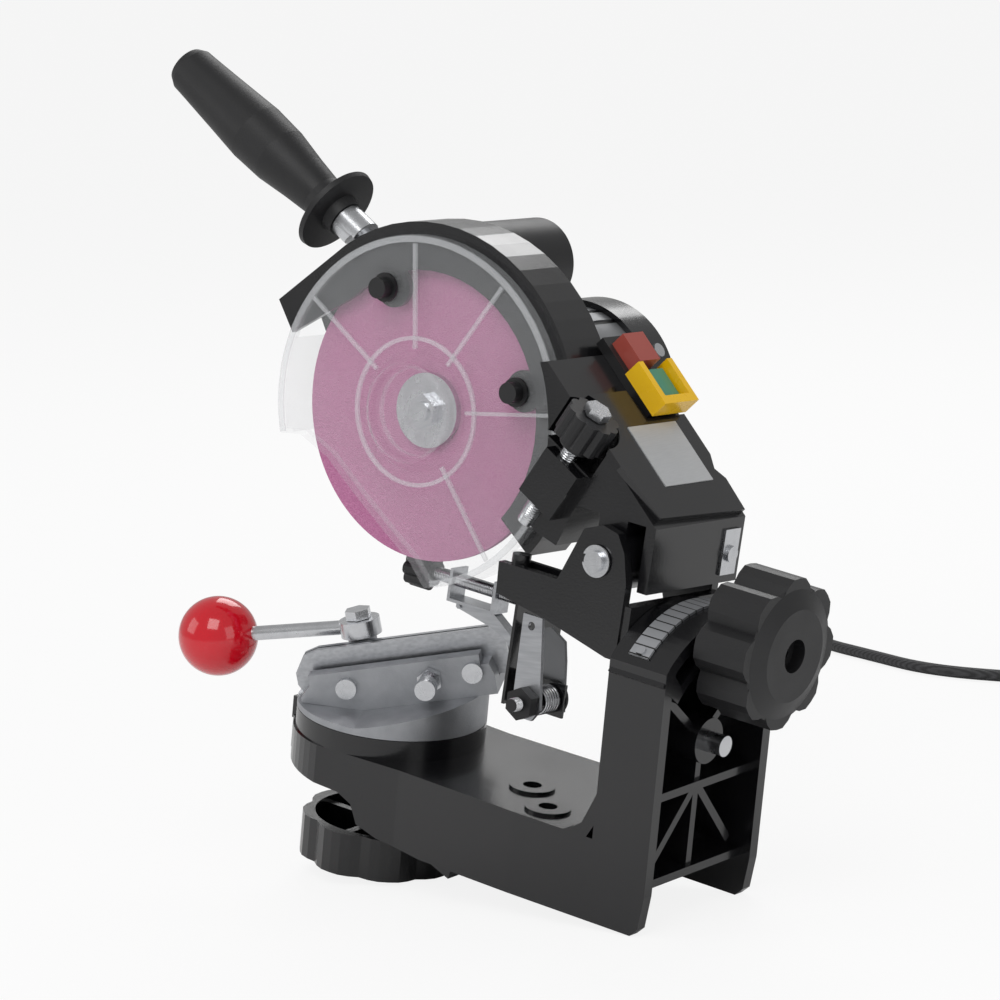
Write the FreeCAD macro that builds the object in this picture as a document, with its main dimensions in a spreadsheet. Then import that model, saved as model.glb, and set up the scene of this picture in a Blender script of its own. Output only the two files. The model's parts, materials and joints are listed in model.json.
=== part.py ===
import FreeCAD, Part
import math
import os
import Sketcher

# Electric chainsaw sharpener, in mm. +Z up, +X the operator's right, -Y the operator's side.
# It stands on a table as the photograph has it: on the rear feet and on the rim of the lock knob
# that hangs below the base. The origin is the middle of its box, on the table.
# Each piece is drawn in the base's own frame, whose bench plane is at zero height and whose upright
# axis is the turntable's, or in the frame of the vise or of the head.

V = FreeCAD.Vector
doc = FreeCAD.newDocument("ChainSharpener")

# Driving sizes
SIZES = [
    ("wheel_radius", 72.5, "radius of the grinding wheel"),
    ("wheel_thick", 3.2, "thickness of the grinding wheel"),
    ("base_half", 45.0, "half width of the base casting"),
    ("plate_top", 40.0, "height of the plate's top above the bench"),
    ("wall", 6.0, "thickness of the casting walls"),
    ("post_front", 156.0, "front face of the post"),
    ("post_rear", 188.0, "rear edge of the post's flanges"),
    ("arch_radius", 62.0, "radius of the post's arched top"),
    ("tilt_height", 86.0, "height of the tilt axis"),
    ("tilt_deg", 5.0, "tilt of the head in the rest pose"),
    ("slot_radius", 51.0, "radius of the arc slot in the post"),
    ("turn_deg", 30.0, "turn of the vise in the rest pose"),
    ("slope_deg", 15.0, "slope of the vise rails"),
    ("disc_radius", 46.0, "radius of the turntable disc"),
    ("rail_height", 87.0, "height of the rails' top edge over the turntable's centre"),
    ("rail_length", 104.0, "length of the vise rails"),
    ("rail_thick", 3.0, "thickness of one rail"),
    ("slot_width", 1.6, "gap between the rails that takes the drive links"),
    ("pin_y", 134.0, "head hinge pin, along Y"),
    ("pin_z", 77.0, "head hinge pin, above the tilt axis"),
    ("pin_radius", 5.0, "radius of the head hinge pin"),
    ("fit_gap", 0.05, "radial running clearance"),
    ("spindle_y", 1.0, "wheel spindle, along Y"),
    ("spindle_z", 114.0, "wheel spindle, above the tilt axis"),
    ("guard_radius", 90.0, "outer radius of the wheel guard"),
    ("cover_radius", 84.0, "outer radius of the clear cover"),
    ("motor_radius", 43.0, "radius of the motor barrel"),
    ("motor_length", 104.0, "length of the motor barrel"),
    ("cap_radius", 46.0, "radius of the motor end cap"),
    ("condenser_radius", 21.5, "radius of the condenser housing"),
    ("grip_length", 112.0, "length of the handle grip"),
    ("grip_radius", 15.5, "largest radius of the grip"),
    ("tilt_knob_radius", 36.0, "radius of the tilt lock knob"),
    ("lock_knob_radius", 39.0, "radius of the turntable lock knob"),
    ("ball_radius", 19.5, "radius of the lever's ball"),
    ("cord_radius", 3.25, "radius of the mains cord"),
    ("stand_deg", 9.4, "pitch of the base as it stands on the table, front up"),
    ("stand_x", 54.74, "turntable axis from the middle of the box, along X"),
    ("stand_y", -57.8, "turntable axis from the middle of the box, along Y"),
    ("stand_z", 30.05, "turntable axis foot above the table"),
]
sheet = doc.addObject("Spreadsheet::Sheet", "Sizes")
val = {}
for row, (alias, number, note) in enumerate(SIZES, start=1):
    sheet.set("A%d" % row, alias)
    sheet.set("B%d" % row, str(number))
    sheet.set("C%d" % row, note)
    sheet.setAlias("B%d" % row, alias)
    val[alias] = number
doc.recompute()


def rot(axis, deg):
    return FreeCAD.Rotation(axis, deg)


def place(x=0.0, y=0.0, z=0.0, axis=V(0, 0, 1), deg=0.0):
    return FreeCAD.Placement(V(x, y, z), rot(axis, deg))


X_AXIS = V(1, 0, 0)
Y_AXIS = V(0, 1, 0)
Z_AXIS = V(0, 0, 1)
WORLD = place(val["stand_x"], val["stand_y"], val["stand_z"], X_AXIS, -val["stand_deg"])
# Turned vise base, sloped vise casting and tilted head
VISE = WORLD.multiply(place(deg=val["turn_deg"]))
SLOPE = VISE.multiply(place(0, 0, val["rail_height"], X_AXIS, val["slope_deg"]))
HEAD = WORLD.multiply(place(0, 0, val["tilt_height"], Y_AXIS, -val["tilt_deg"]))
# Cylinders along X or Y
ALONG_X = rot(Y_AXIS, 90)
ALONG_Y = rot(X_AXIS, -90)

exports = []
count = [0]


def fresh(stem):
    count[0] += 1
    return "%s_%d" % (stem, count[0])


def size(obj, **sizes):
    for key, value in sizes.items():
        if isinstance(value, str):
            words = value
            for alias in sorted(val, key=len, reverse=True):
                words = words.replace("@" + alias, "Sizes." + alias)
            obj.setExpression(key, words)
        else:
            setattr(obj, key, value)
    return obj


def cyl(radius, height, x=0.0, y=0.0, z=0.0, way=None):
    obj = size(doc.addObject("Part::Cylinder", fresh("Cylinder")), Radius=radius, Height=height)
    obj.Placement = FreeCAD.Placement(V(x, y, z), way or FreeCAD.Rotation())
    return obj


def cone(r1, r2, height, x=0.0, y=0.0, z=0.0, way=None):
    obj = size(doc.addObject("Part::Cone", fresh("Cone")), Radius1=r1, Radius2=r2, Height=height)
    obj.Placement = FreeCAD.Placement(V(x, y, z), way or FreeCAD.Rotation())
    return obj


def box(x0, x1, y0, y1, z0, z1, about=None):
    obj = size(doc.addObject("Part::Box", fresh("Box")), Length=x1 - x0, Width=y1 - y0, Height=z1 - z0)
    obj.Placement = place(x0, y0, z0)
    if about is not None:
        obj.Placement = about.multiply(obj.Placement)
    return obj


def ball(radius, x, y, z):
    obj = size(doc.addObject("Part::Sphere", fresh("Sphere")), Radius=radius)
    obj.Placement = place(x, y, z)
    return obj


def ring(r1, r2, x, y, z, way=None):
    obj = size(doc.addObject("Part::Torus", fresh("Torus")), Radius1=r1, Radius2=r2)
    obj.Placement = FreeCAD.Placement(V(x, y, z), way or FreeCAD.Rotation())
    return obj


def prism(sides, radius, height, x=0.0, y=0.0, z=0.0, way=None):
    obj = size(doc.addObject("Part::Prism", fresh("Prism")), Polygon=sides, Circumradius=radius,
               Height=height)
    obj.Placement = FreeCAD.Placement(V(x, y, z), way or FreeCAD.Rotation())
    return obj


def fuse(*parts):
    obj = doc.addObject("Part::MultiFuse", fresh("Fuse"))
    obj.Shapes = list(parts)
    return obj


def cut(base, *tools):
    obj = doc.addObject("Part::Cut", fresh("Cut"))
    obj.Base = base
    obj.Tool = tools[0] if len(tools) == 1 else fuse(*tools)
    return obj


def common(*parts):
    obj = doc.addObject("Part::MultiCommon", fresh("Common"))
    obj.Shapes = list(parts)
    return obj


def group(*parts):
    obj = doc.addObject("Part::Compound", fresh("Group"))
    obj.Links = list(parts)
    return obj


def draw(body, role, loops):
    """A sketch on one origin plane; a loop is a list of points or a circle (x, y, radius)."""
    sketch = body.newObject("Sketcher::SketchObject", fresh("Sketch"))
    plane = [f for f in body.Origin.OriginFeatures if f.Role == role][0]
    sketch.AttachmentSupport = [(plane, "")]
    sketch.MapMode = "FlatFace"
    for loop in loops:
        if isinstance(loop, tuple):
            middle = V(loop[0], loop[1], 0)
            index = sketch.addGeometry(Part.Circle(middle, Z_AXIS, loop[2]), False)
            sketch.addConstraint(Sketcher.Constraint("Radius", index, loop[2]))
            continue
        first = sketch.GeometryCount
        for here, there in zip(loop, loop[1:] + loop[:1]):
            sketch.addGeometry(Part.LineSegment(V(here[0], here[1], 0), V(there[0], there[1], 0)), False)
        last = sketch.GeometryCount - 1
        for index in range(first, last + 1):
            after = index + 1 if index < last else first
            sketch.addConstraint(Sketcher.Constraint("Coincident", index, 2, after, 1))
    return sketch


# A pad on XZ rises along -Y, so it is turned round; each pad starts at the given offset along its normal.
def pad(role, loops, length, offset=0.0, way=None):
    body = doc.addObject("PartDesign::Body", fresh("Body"))
    sketch = draw(body, role, loops)
    feature = body.newObject("PartDesign::Pad", fresh("Pad"))
    feature.Profile = sketch
    size(feature, Length=length)
    if role == "XZ_Plane":
        feature.Reversed = True
        shift = place(0, offset, 0)
    elif role == "YZ_Plane":
        shift = place(offset, 0, 0)
    else:
        shift = place(0, 0, offset)
    body.Placement = (way or place()).multiply(shift)
    doc.recompute()
    return body


def turned(points, way=None):
    """A body of revolution about Z; the points are (radius, height)."""
    body = doc.addObject("PartDesign::Body", fresh("Body"))
    sketch = draw(body, "XZ_Plane", [points])
    feature = body.newObject("PartDesign::Revolution", fresh("Revolution"))
    feature.Profile = sketch
    feature.ReferenceAxis = (sketch, ["V_Axis"])
    feature.Angle = 360
    body.Placement = way or place()
    doc.recompute()
    return body


def arc_points(cx, cy, radius, first, last, steps):
    return [(cx + radius * math.cos(math.radians(first + (last - first) * i / steps)),
             cy + radius * math.sin(math.radians(first + (last - first) * i / steps)))
            for i in range(steps + 1)]


def lobed(lobes, radius, depth, steps=6):
    """A knob outline: round lobes with a hollow between each two."""
    points = []
    for i in range(lobes * steps):
        angle = 2 * math.pi * i / (lobes * steps)
        wave = 0.5 - 0.5 * math.cos(lobes * angle)
        reach = radius - depth * wave ** 3
        points.append((reach * math.cos(angle), reach * math.sin(angle)))
    return points


def round_off(obj, radius, pick):
    doc.recompute()
    fillet = doc.addObject("Part::Fillet", fresh("Fillet"))
    fillet.Base = obj
    chosen = [i for i, edge in enumerate(obj.Shape.Edges, start=1) if pick(edge)]
    fillet.Edges = [(i, radius, radius) for i in chosen]
    doc.recompute()
    if fillet.Shape.isNull() or not fillet.Shape.isValid():
        raise RuntimeError("fillet failed on " + obj.Name)
    return fillet


def solid(shape, stem="Solid"):
    obj = doc.addObject("Part::Feature", fresh(stem))
    obj.Shape = shape
    return obj


def emit(node, obj, frame=WORLD):
    doc.recompute()
    obj.Label = node
    obj.Placement = frame.multiply(obj.Placement)
    doc.recompute()
    exports.append((node, obj))
    return obj


def bolt_x(radius, head_radius, head, x0, x1, y, z):
    """A hexagon bolt along X: the shank runs from x0 to x1 and the head stands beyond x1."""
    return fuse(cyl(radius, x1 - x0 + 0.5, x0, y, z, ALONG_X), prism(6, head_radius, head, x1, y, z, ALONG_X))


half = val["base_half"]
wall = val["wall"]
top = val["plate_top"]
front = val["post_front"]
rear = val["post_rear"]
tilt_z = val["tilt_height"]
arch = val["arch_radius"]

# Base casting: side outline, plan outline, post with an arched top, open underside and back
side = [(-44, 24), (6, 20), (14, 16), (18, 7), (30, 3), (56, 0), (64, 0), (75, -4), (76, 0), (182, 0),
        (186, 4), (188, 20), (188, 40), (150, 40), (-44, 40)]
plan = [(-19, -46), (19, -46), (22, -42)] + arc_points(0, 0, 47, -58, -10, 8) + \
       [(43, 40), (45, 110), (45, 188), (-45, 188), (-45, 110), (-43, 40)] + \
       arc_points(0, 0, 47, 190, 238, 8) + [(-22, -42)]
hull = common(pad("YZ_Plane", [side], 2 * half + 4, -half - 2), pad("XY_Plane", [plan], 60, -10))
shoulder = math.degrees(math.atan2(42, 45))
crown = [(half, 30), (half, tilt_z + 42)] + arc_points(0, tilt_z, arch, shoulder, 180 - shoulder, 24)[1:-1] + \
        [(-half, tilt_z + 42), (-half, 30)]
post = pad("XZ_Plane", [crown], rear - front, front)
heel = pad("YZ_Plane", [[(126, 36), (150, 36), (158, 50), (158, 62), (156, 62), (153, 55), (149, 46),
                         (142, 41)]], 2 * half, -half)
hub_ring = cyl(46.0, 10.0, 0, 0, top)
nose = box(-19, 19, -46, -24, top - 2, top + 9)
inner = half - wall
under = fuse(box(-inner + 3, inner - 3, 24, 150, -10, top - wall),
             cyl(38.0, 18.0, 0, 0, top - wall - 18), box(-14, 14, -30, 10, 10, top - wall - 8))
lower_back = box(-inner, inner, 149, rear + 6, -10, 20)
recess_crown = [(inner, 20), (inner, tilt_z + 38)] + \
    arc_points(0, tilt_z, arch - wall, shoulder + 2, 178 - shoulder, 20)[1:-1] + \
    [(-inner, tilt_z + 38), (-inner, 20)]
recess = pad("XZ_Plane", [recess_crown], 40, front + wall)
casting = cut(fuse(hull, post, heel, hub_ring, nose), under, lower_back, recess)
slot_r = val["slot_radius"]
slot = arc_points(0, tilt_z, slot_r + 4.2, 47, 133, 20) + arc_points(0, tilt_z, slot_r - 4.2, 133, 47, 20)
slot_rim = arc_points(0, tilt_z, slot_r + 8.0, 38, 142, 20) + arc_points(0, tilt_z, slot_r - 9.0, 142, 38, 20)
ribs = [pad("XZ_Plane", [slot_rim], rear - front - 1, front + 0.5),
        cyl(11.0, rear - front - 4.0, 0, front + 0.5, tilt_z, ALONG_Y),
        box(-inner - 1, inner + 1, front + 1, rear - 6, 62, 66),
        box(-inner - 1, inner + 1, front + 1, rear - 6, 20, 24),
        box(-2, 2, front + 1, rear - 8, 22, tilt_z - 6)]
for reach, lean in ((46, 42), (46, -42)):
    ribs.append(box(-2, 2, front + 1, rear - 8, -reach, 0, place(0, 0, 64, Y_AXIS, lean)))
    ribs.append(box(-2, 2, front + 1, rear - 8, 4, reach - 1, place(0, 0, tilt_z, Y_AXIS, 1.2 * lean)))
casting = fuse(casting, *ribs)
casting = cut(casting, pad("XZ_Plane", [slot], 60, front - 10),
              cyl("@pin_radius + @fit_gap", 60.0, 0, front - 10, tilt_z, ALONG_Y),
              cyl(6.05, 60.0, 0, 0, 0), cyl(4.5, 40.0, 11, 95, 20), cyl(4.5, 40.0, 29, 118, 20),
              cyl(4.5, 40.0, -29, 118, 20))
pads = [cut(cyl(11.0, 1.6, x, y, top - 0.1), cyl(4.5, 4.0, x, y, top - 1))
        for x, y in ((11, 95), (29, 118), (-29, 118))]
emit("base_casting", fuse(casting, *pads))

# Scale band on the arch with its two rivets, and the index pointer on the nose
band_out = arc_points(0, tilt_z, arch + 1.3, 47, 133, 30)
band_in = arc_points(0, tilt_z, arch + 0.06, 133, 47, 30)
rivets = []
for angle in (49.5, 130.5):
    outward = V(math.cos(math.radians(angle)), 0, math.sin(math.radians(angle)))
    rivets.append(solid(Part.makeCylinder(2.4, 2.2, outward * (arch + 0.2) + V(0, front + 14, tilt_z), outward)))
emit("scale_band", fuse(pad("XZ_Plane", [band_out + band_in], 11, front + 8.5), *rivets))
emit("index_pointer", fuse(pad("XZ_Plane", [[(-11, 42), (11, 42), (11, 47), (2.5, 49.8), (-2.5, 49.8), (-11, 47)]],
                               1.2, -47.2), cyl(3.2, 1.4, 0, -48.4, 44.5, ALONG_Y)))

# Turntable: disc with a sloped top, stud, washer and the cup-shaped lock knob
disc_r = val["disc_radius"]
wedge = [(-disc_r - 2, top + 10.3), (disc_r + 2, top + 10.3), (disc_r + 2, top + 29.4), (-12, top + 13.3),
         (-disc_r - 2, top + 13.3)]
emit("turntable_disc", fuse(common(pad("YZ_Plane", [wedge], 100, -50), cyl("@disc_radius", 60.0, 0, 0, top)),
                            cyl(6.0, top + 24.0, 0, 0, -10)), VISE)
knob = cut(pad("XY_Plane", [lobed(8, 39.0, 3.0)], 21, -24.0), cyl(33.0, 30.0, 0, 0, -19))
hub = fuse(cyl(11.0, 30.0, 0, 0, -20.0), box(-34, 34, -2, 2, -20, -6), box(-2, 2, -34, 34, -20, -6))
emit("turntable_lock_knob", cut(fuse(knob, hub), cyl(6.05, 50.0, 0, 0, -16)), WORLD)

# Vise: block, two rails, screws, clamp bolt and cam lever
rail_y = val["rail_length"] / 2
gap = val["slot_width"] / 2
thick = val["rail_thick"]
lever_y = -20.0
lever_x = -15.0
block_side = [(-44, -14), (44, -14), (46, -20), (46, -29.4), (-20.3, -29.4), (-49, -21.6), (-49, -19)]
block = cut(pad("YZ_Plane", [block_side], 32, -16), box(-gap - 4.6, gap + thick + 0.05, -60, 60, -24, -13))
block = fuse(block, box(-16, -9, -44, 40, -14.5, -9), box(7, 16, -44, 40, -14.5, -9),
             cyl(7.0, 14.2, lever_x + 3.0, lever_y, -14.0))
emit("vise_block", cut(block, cyl(3.05, 60.0, -30, 15, -18, ALONG_X), box(-5.4, 0, -60, 60, -14, 0),
                       cyl(3.52, 20.0, lever_x + 3.0, lever_y, -13.0),
                       *[cyl(3.05, 14.0, 7.0, y, -17, ALONG_X) for y in (-26, 36)]), SLOPE)
rail = [(-rail_y, -10), (-rail_y + 5, -2), (-rail_y + 12, 0), (rail_y - 6, 0), (rail_y, -5), (rail_y, -23),
        (-rail_y + 14, -23), (-rail_y + 2, -20), (-rail_y, -16)]
emit("fixed_rail", cut(pad("YZ_Plane", [rail], "@rail_thick", gap),
                       cyl(3.3, 20.0, -5, 15, -18, ALONG_X)), SLOPE)
emit("moving_rail", cut(pad("YZ_Plane", [rail], "@rail_thick", -gap - thick),
                        cyl(3.6, 20.0, -15, 15, -18, ALONG_X)), SLOPE)
emit("rail_screws", group(*[fuse(cyl(3.0, 9.2, 7.4, y, -17, ALONG_X),
                                 cyl(5.0, 3.4, 16.05, y, -17, ALONG_X)) for y in (-26, 36)]), SLOPE)
emit("clamp_bolt", fuse(cyl(3.0, 42.0, -12, 15, -18, ALONG_X), cyl(5.0, 8.0, 27, 15, -18, ALONG_X),
                        prism(6, 6.2, 5.0, 16.3, 15, -18, ALONG_X)), SLOPE)
emit("lever_pivot_bolt", fuse(cyl(3.5, 21.0, lever_x + 3.0, lever_y, -12.0),
                              prism(6, 6.5, 4.5, lever_x + 3.0, lever_y, 9.0)), SLOPE)
hub = cut(fuse(cyl(10.0, 8.0, 0, 0, -4.0), cyl(8.0, 8.0, 1.6, 0, -4.0)), cyl(3.55, 20.0, 0, 0, -10))
LEVER = SLOPE.multiply(place(lever_x + 3.0, lever_y, 4.7, Z_AXIS, -12.0))
rod = cyl(3.5, 52.0, 0, -7.5, 0, rot(X_AXIS, 90))
emit("cam_lever", fuse(hub, cut(rod, cyl(3.55, 20.0, 0, 0, -10))), LEVER)
emit("lever_ball", cut(ball("@ball_radius", 0, -75.5, 0), cyl(3.5, 40.0, 0, -39.5, 0, rot(X_AXIS, 90))), LEVER)

# Tilting bracket in front of the post, with a narrow channel arm
pin_y = val["pin_y"]
pin_z = val["pin_z"]
ear_line = [(124, 90), (134, 94), (143, 92), (148, 84), (151.5, 70), (151.5, 34)]
cheek = [(79, 63), (113, 63)] + ear_line + [(146, 34), (109, 43), (80, 48)]
far_cheek = [(121, 62)] + ear_line + [(130, 36)]
back = [(37, 34), (37, 60), (-37, 60), (-37, 34), (-16, -14), (16, -14)]
rim = 155.7
bracket = fuse(pad("YZ_Plane", [cheek], 5, 33), pad("YZ_Plane", [far_cheek], 5, -38),
               pad("XZ_Plane", [back], 6, rim - 6),
               pad("YZ_Plane", [[(80, 48), (80, 56), (150, 56), (150, 36), (109, 43)]], 14, 20),
               box(20, 23, 79, 118, 52, 63), cyl(4.5, 11.0, 28.6, 85, 56))
bracket = cut(bracket, cyl("@pin_radius + @fit_gap", 100.0, -50, pin_y, pin_z, ALONG_X),
              cyl(5.0, 30.0, 0, 140, 0, ALONG_Y), cyl(4.0, 30.0, 0, 140, slot_r, ALONG_Y))
emit("tilt_bracket", bracket, HEAD)
emit("tilt_pivot_bolt", fuse(cyl(5.0, rear - rim + 14, 0, rim - 8, 0, ALONG_Y),
                             prism(6, 9.0, 5.0, 0, rim - 12, 0, ALONG_Y)), HEAD)
emit("tilt_lock_stud", fuse(cyl(4.0, 62.0, 0, rim - 10, slot_r, ALONG_Y),
                            prism(6, 7.5, 4.0, 0, rim - 10, slot_r, ALONG_Y)), HEAD)
knob = pad("XZ_Plane", [lobed(8, 36.0, 6.0)], 28, 0)
knob_way = place(0, rear + 4.0, slot_r)
knob_body = fuse(knob, cyl(14.0, 3.0, 0, -2.5, 0, ALONG_Y), cone(32.0, 22.0, 4.0, 0, 27.5, 0, ALONG_Y))
knob_body = cut(knob_body, cyl(4.05, 60.0, 0, -10, 0, ALONG_Y), cyl(8.0, 9.0, 0, 25.0, 0, ALONG_Y))
emit("tilt_lock_knob", knob_body, HEAD.multiply(knob_way))

# Hinge pin, circlips and the return spring on it
emit("hinge_pin", cut(cyl("@pin_radius", 84.0, -42, pin_y, pin_z, ALONG_X),
                      *[cut(cyl(7.0, 1.2, x, pin_y, pin_z, ALONG_X), cyl(4.4, 1.2, x, pin_y, pin_z, ALONG_X))
                        for x in (-39.8, 38.6)]), HEAD)
clips = []
for x in (-39.7, 38.7):
    plain = cut(cyl(7.6, 1.0, x, pin_y, pin_z, ALONG_X), cyl(4.45, 1.4, x - 0.2, pin_y, pin_z, ALONG_X),
                box(x - 1, x + 2, pin_y - 12, pin_y - 4, pin_z - 2, pin_z + 2))
    clips.append(plain)
emit("hinge_circlips", group(*clips), HEAD)


def coil(radius, wire, pitch, turns, x, y, z):
    """A round wire wound about X."""
    helix = Part.makeHelix(pitch, pitch * turns, radius)
    disc = Part.Wire([Part.makeCircle(wire, V(radius, 0, 0), V(0, 1, 0))])
    shape = Part.Wire(helix.Edges).makePipeShell([disc], True, True)
    shape.Placement = FreeCAD.Placement(V(x, y, z), ALONG_X)
    return shape


emit("return_spring", solid(coil(9.0, 1.1, 2.5, 5.0, -31.0, pin_y, pin_z)), HEAD)

# Head: arm box with hinge bosses, and a motor flange behind the guard
sy = val["spindle_y"]
sz = val["spindle_z"]
guard = val["guard_radius"]
arm_side = [(78, 157), (84, 159), (158, 97), (158, 66), (152.4, 66), (152.4, 97), (112, 97), (104, 76),
            (90, 80), (70, 100), (60, 130)]
arm = pad("YZ_Plane", [arm_side], 72, -42)
boss_solid = cyl(15.0, 64.0, -32.0, pin_y, pin_z, ALONG_X)
flange = fuse(cyl(50.0, 8.0, -30.5, sy, sz, ALONG_X),
              pad("YZ_Plane", [[(sy, sz + 50), (84, 157), (104, 76), (sy, sz - 50)]], 8, -30.5))
cavity = pad("YZ_Plane", [[(114, 124), (146, 100), (114, 100)]], 64, -38)
web = box(-32, 30, 126, 142, 85, 98)
arm_body = cut(fuse(arm, flange, boss_solid, web), cyl("@guard_radius + 0.3", 80.0, -22.2, sy, sz, ALONG_X),
               cyl("@motor_radius + 4", 60.0, -90.5, sy, sz, ALONG_X),
               cyl("@pin_radius + @fit_gap", 100.0, -50, pin_y, pin_z, ALONG_X),
               cyl(11.5, 16.0, -32.5, pin_y, pin_z, ALONG_X),
               cyl("@condenser_radius + 0.05", 60.0, -80, -4, 181, ALONG_X),
               cyl(20.0, 30.0, -35, sy, sz, ALONG_X), cavity)
SCREW = place(30, 108, 127, X_AXIS, -27.6)
lug = box(-8, 8, -8, 14, -36, -10, SCREW)
screw_hole = cyl(4.05, 90.0, 0, 0, 0)
screw_hole.Placement = SCREW.multiply(place(0, 0, -70))
spotface = cyl(16.0, 40.0, 0, 0, 0)
spotface.Placement = SCREW.multiply(place(0, 0, -9.5))
emit("head_arm", cut(fuse(arm_body, lug), screw_hole, spotface), HEAD)
cover_way = place(0, 112.2, 135.5, X_AXIS, -40.0)
plate_shape = [(31, 2), (31, 26), (26, 56), (-40, 58), (-41, 40), (-37, 34), (-41, 26), (-41, 2.5), (-11, 2.5),
               (-9, -14), (24, -14)]
clearance = cyl(16.0, 40.0, 0, 0, 0)
clearance.Placement = cover_way.inverse().multiply(SCREW).multiply(place(0, 0, -9.5))
emit("box_cover", cut(pad("XY_Plane", [plate_shape], 3.0, 0.0), clearance), HEAD.multiply(cover_way))
emit("rating_plate", box(-30, 8, 6, 40, 3.0, 3.5), HEAD.multiply(cover_way))
emit("cover_clip", fuse(box(-38, -26, 158.1, 159.3, 70, 92), cyl(4.0, 2.0, -32, 159, 80, ALONG_Y)), HEAD)

# Wheel guard: back plate, rim and front lip, with a flat to the upper left
flat = [(sy + guard * math.cos(math.radians(131)), sz + guard * math.sin(math.radians(131))), (-94, 147)]
outer_arc = arc_points(sy, sz, guard, -36, 131, 26)
back_plate = pad("YZ_Plane", [outer_arc + [flat[1], (-84, 132)] + arc_points(sy, sz, 28, 160, 324, 8)], 3, -22)
rim_wall = pad("YZ_Plane", [outer_arc + arc_points(sy, sz, guard - 5, 131, -36, 26)], 28.5, -20.5)
flat_wall = pad("YZ_Plane", [flat + [(-90.5, 143.4), (-54.5, 178.3)]], 28.5, -20.5)
lip = pad("YZ_Plane", [outer_arc + [flat[1], (-83, 133)] + arc_points(sy, sz, 67, 139, -36, 24)], 3, 5)
nut_spots = [(sy + 61 * math.cos(math.radians(a)), sz + 61 * math.sin(math.radians(a))) for a in (117, 22)]
ears = [cyl(10.0, 3.0, 5, y, z, ALONG_X) for y, z in nut_spots]
emit("wheel_guard", cut(fuse(back_plate, rim_wall, flat_wall, lip, *ears), cyl(20.0, 24.0, -40, sy, sz, ALONG_X),
                        *[cyl(3.05, 10.0, 2, y, z, ALONG_X) for y, z in nut_spots]), HEAD)

# Clear cover: plate with an edge wall and a raised hub, open below
cover_r = val["cover_radius"]
free_edge = [(-84.0, 84), (-66, 87), (-48, 80), (-28, 66), (-6, 52), (10, 42), (18, 34), (22, 31)]
free_inner = [(y + 0.7, z + 2.0) for y, z in free_edge]
above_edge = pad("YZ_Plane", [free_edge + [(22, 10), (120, 10), (120, 240), (-120, 240), (-120, 84)]], 60, -30)


def cover_disc(radius, x0, x1):
    return cyl(radius, x1 - x0, x0, sy, sz, ALONG_X)


def cover_wall(x0, *within):
    return common(cut(cover_disc("@cover_radius", x0, 12.0), cover_disc("@cover_radius - 2.2", x0 - 1, 12.5)),
                  above_edge, *within)


edge_wall = common(pad("YZ_Plane", [free_edge + free_inner[::-1]], 5.5, 6.5), cover_disc("@cover_radius", 0, 30))
cover_plate = common(cover_disc("@cover_radius", 11.0, 13.2), above_edge)
skirts = [cover_wall(8.3), cover_wall(-16.0, box(-40, 40, -100, -60, 60, 131)), cover_wall(-5.0, box(-40, 40, 15, 70, 0, 61))]
dome = turned([(0, 0), (29, 0), (29, 3), (24, 8), (24, 10), (21.8, 10), (21.8, 8), (22, 5), (0, 5)],
              FreeCAD.Placement(V(11.0, sy, sz), ALONG_X))
clear = cut(fuse(cover_plate, edge_wall, *skirts, dome), cyl(21.0, 4.0, 10.5, sy, sz, ALONG_X),
            cyl(5.2, 20.0, 5, nut_spots[0][0], nut_spots[0][1], ALONG_X),
            cyl(5.2, 20.0, 5, nut_spots[1][0], nut_spots[1][1], ALONG_X))
emit("clear_cover", clear, HEAD)
emit("cover_nuts", group(*[fuse(cyl(7.0, 1.6, 13.3, y, z, ALONG_X), cyl(5.0, 6.0, 14.8, y, z, ALONG_X),
                                cyl(3.0, 12.0, 3.2, y, z, ALONG_X)) for y, z in nut_spots]), HEAD)

# Motor: barrel with flats, end cap, screws, stator, bearings, shaft, rotor and fan
m_r = val["motor_radius"]
m_len = val["motor_length"]
m0 = -22.5 - 8.2
m1 = m0 - m_len
barrel = cyl("@motor_radius", "@motor_length", m1, sy, sz, ALONG_X)
grooves = [box(m1 - 1, m0 + 1, -1.6, 1.6, m_r - 2.0, m_r + 3, place(0, sy, sz, X_AXIS, a))
           for a in (-112, -96, -80, -22, -8, 6, 20, 34, 96, 112, 128, 144, 160, 176)]
bore = cyl(m_r - 5.0, m_len - 5.0, m1 - 1.0, sy, sz, ALONG_X)
emit("motor_barrel", cut(barrel, bore, cyl(13.0, 20.0, m0 - 12, sy, sz, ALONG_X), *grooves), HEAD)
cap_profile = [(0, 0), (40, 0), (46, 7), (46, 28), (43.3, 28), (43.3, 8), (0, 4)]
cap = turned(cap_profile, FreeCAD.Placement(V(m1 - 8.4, sy, sz), ALONG_X))
vents = [box(-0.5, 7.0, -3, 3, 14, 32, place(m1 - 9.0, sy, sz, X_AXIS, a)) for a in range(0, 360, 45)]
emit("motor_end_cap", cut(cap, *vents), HEAD)
screws = []
for angle in (38, 128, 218, 308):
    piece = cyl(3.6, 2.0, 0, 0, 0)
    piece.Placement = place(m1 + 8.0, sy, sz, X_AXIS, angle).multiply(place(0, 0, val["cap_radius"]))
    screws.append(piece)
emit("motor_screws", group(*screws), HEAD)
emit("stator", cut(cyl(m_r - 5.3, 52.0, m0 - 82, sy, sz, ALONG_X), cyl(23.0, 60.0, m0 - 86, sy, sz, ALONG_X)), HEAD)
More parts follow.
